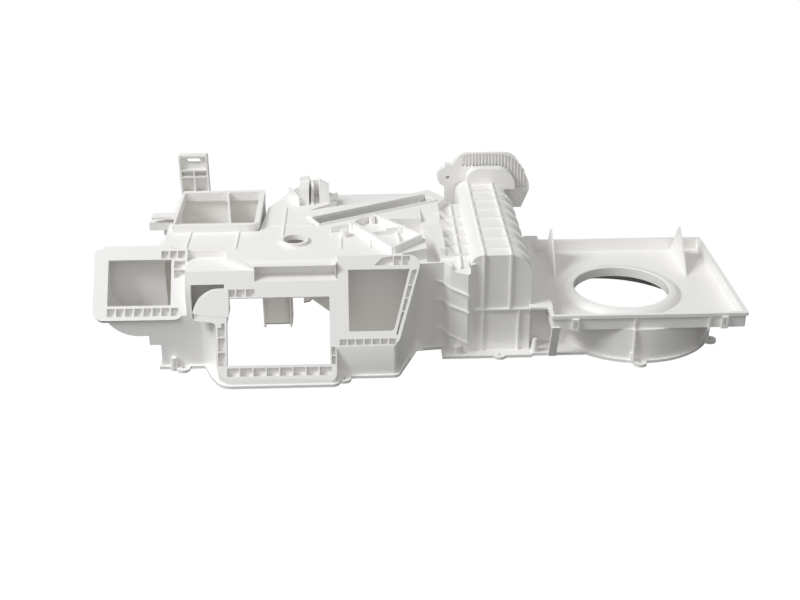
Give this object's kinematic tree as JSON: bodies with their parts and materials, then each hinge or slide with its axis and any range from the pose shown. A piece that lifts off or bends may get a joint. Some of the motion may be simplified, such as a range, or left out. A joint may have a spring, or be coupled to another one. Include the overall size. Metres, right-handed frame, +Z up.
{
  "type": "air conditioning unit housing",
  "caption": "Moulded half of a vehicle air conditioning case: outlet frames, mixing chamber, evaporator chamber and blower scroll with a square inlet tray.",
  "frame": {"origin": "centre of the footprint on the parting face, which is the lowest plane", "axes": "+X along the case from the outlets to the blower, +Y to the back, +Z up, away from the parting face"},
  "size_m": [0.7676, 0.3462, 0.185],
  "materials": {
    "white_plastic": "fine satin, as moulded"
  },
  "bodies": {
    "root": {"housing": "white_plastic"}
  },
  "joints": []
}
